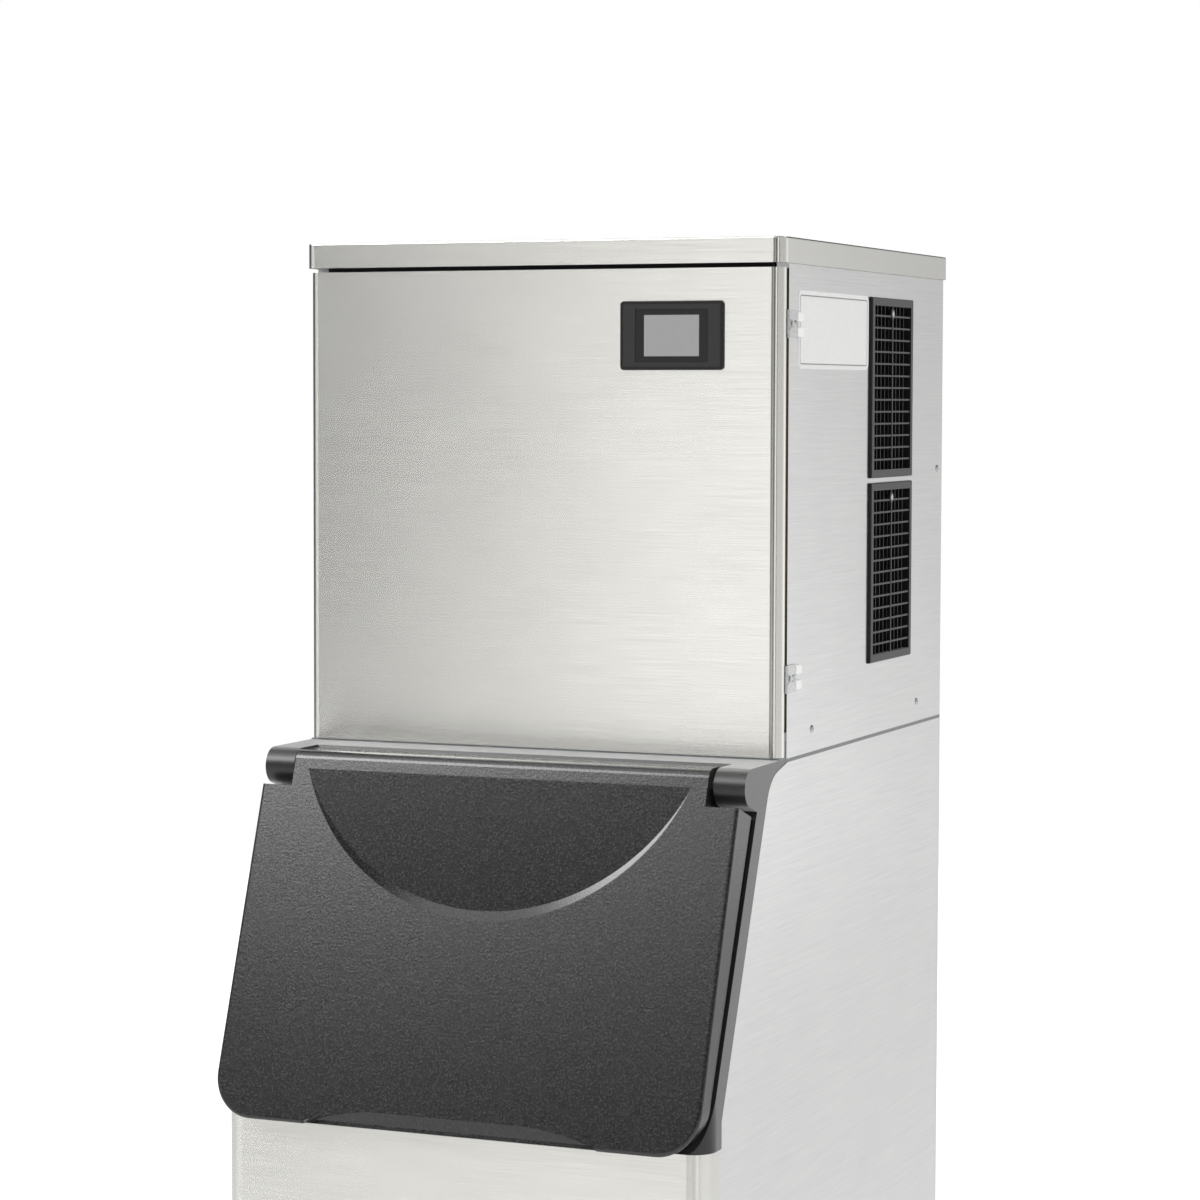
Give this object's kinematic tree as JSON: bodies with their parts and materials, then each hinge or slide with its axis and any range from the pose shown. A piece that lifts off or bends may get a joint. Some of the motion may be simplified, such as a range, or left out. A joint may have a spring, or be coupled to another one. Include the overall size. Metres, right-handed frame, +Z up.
{
  "type": "ice machine",
  "caption": "Cube ice machine: stainless ice-making head with a hinged front and side grilles, seated on an insulated bin with a sloping black lift-up door on legs.",
  "frame": {"origin": "centre of the bounding box on the floor under the legs", "axes": "+X to the machine's right, where the head door is hinged; +Y to its back; +Z up"},
  "size_m": [0.566, 0.8198, 1.535],
  "materials": {
    "stainless": "horizontally brushed stainless sheet",
    "galvanised": "galvanised sheet",
    "black_moulding": "textured black moulding",
    "grey_moulding": "grey moulded plastic",
    "white_moulding": "white food-safe moulding",
    "foam": "rigid foam",
    "steel": "plated steel",
    "dark_paint": "black enamel",
    "copper": "copper tube",
    "plated_copper": "nickel-plated copper",
    "fins": "rolled aluminium fins",
    "rubber": "black rubber",
    "clear_moulding": "translucent moulding",
    "screen": "display glass",
    "bezel": "black bezel",
    "board": "circuit board",
    "brass": "turned brass"
  },
  "bodies": {
    "cabinet": {"bin_door_frame": "black_moulding", "bin_hinge_pins": "steel", "bin_liner": "grey_moulding", "bin_foam": "foam", "bin_left_panel": "stainless", "bin_right_panel": "stainless", "bin_front_panel": "stainless", "bin_rear_panel": "galvanised", "bin_base": "galvanised", "bin_legs": "steel", "bin_drain": "grey_moulding", "drain_strainer": "grey_moulding", "head_base": "galvanised", "head_seal": "rubber", "head_left_panel": "stainless", "head_right_panel": "stainless", "head_rear_panel": "galvanised", "head_lid": "stainless", "lower_grille": "black_moulding", "upper_grille": "black_moulding", "grille_screws": "steel", "panel_screws": "steel", "head_hinge_leaves": "steel", "head_hinge_pins": "steel", "wet_liner": "white_moulding", "divider_wall": "galvanised", "evaporator": "plated_copper", "evaporator_coil": "copper", "evaporator_frame": "white_moulding", "water_distributor": "white_moulding", "water_sump": "white_moulding", "water_pump": "black_moulding", "pump_hose": "rubber", "control_box": "galvanised", "control_board": "board", "control_cover": "galvanised", "compressor": "dark_paint", "compressor_mounts": "rubber", "condenser": "fins", "fan_shroud": "galvanised", "fan_motor": "dark_paint", "discharge_pipe": "copper", "liquid_pipe": "copper", "feed_pipe": "copper", "suction_pipe": "copper", "filter_drier": "copper", "water_inlet": "brass", "water_tube": "clear_moulding", "head_drain": "white_moulding", "cable_gland": "black_moulding"},
    "bin_door": {"bin_door_shell": "black_moulding", "bin_door_lining": "grey_moulding", "bin_door_core": "foam"},
    "head_door": {"head_door_pan": "stainless", "head_door_pad": "foam", "display_bezel": "bezel", "display_screen": "screen", "head_door_leaves": "steel"},
    "fan": {"fan_blades": "black_moulding"},
    "curtain": {"water_curtain": "clear_moulding"}
  },
  "joints": [
    {"name": "bin_door_hinge", "type": "hinge", "parent": "cabinet", "child": "bin_door", "pos_m": [0, -0.25909, 0.96], "axis": [-1, 0, 0], "range_deg": [0, 155]},
    {"name": "head_door_hinge", "type": "hinge", "parent": "cabinet", "child": "head_door", "pos_m": [0.28, -0.15509, 1.257], "axis": [0, 0, 1], "range_deg": [0, 120]},
    {"name": "fan_spin", "type": "hinge", "parent": "cabinet", "child": "fan", "pos_m": [0.18, 0.20191, 1.26], "axis": [1, 0, 0], "continuous": true},
    {"name": "curtain_swing", "type": "hinge", "parent": "cabinet", "child": "curtain", "pos_m": [-0.116, -0.05109, 1.436], "axis": [-1, 0, 0], "range_deg": [0, 14]}
  ]
}
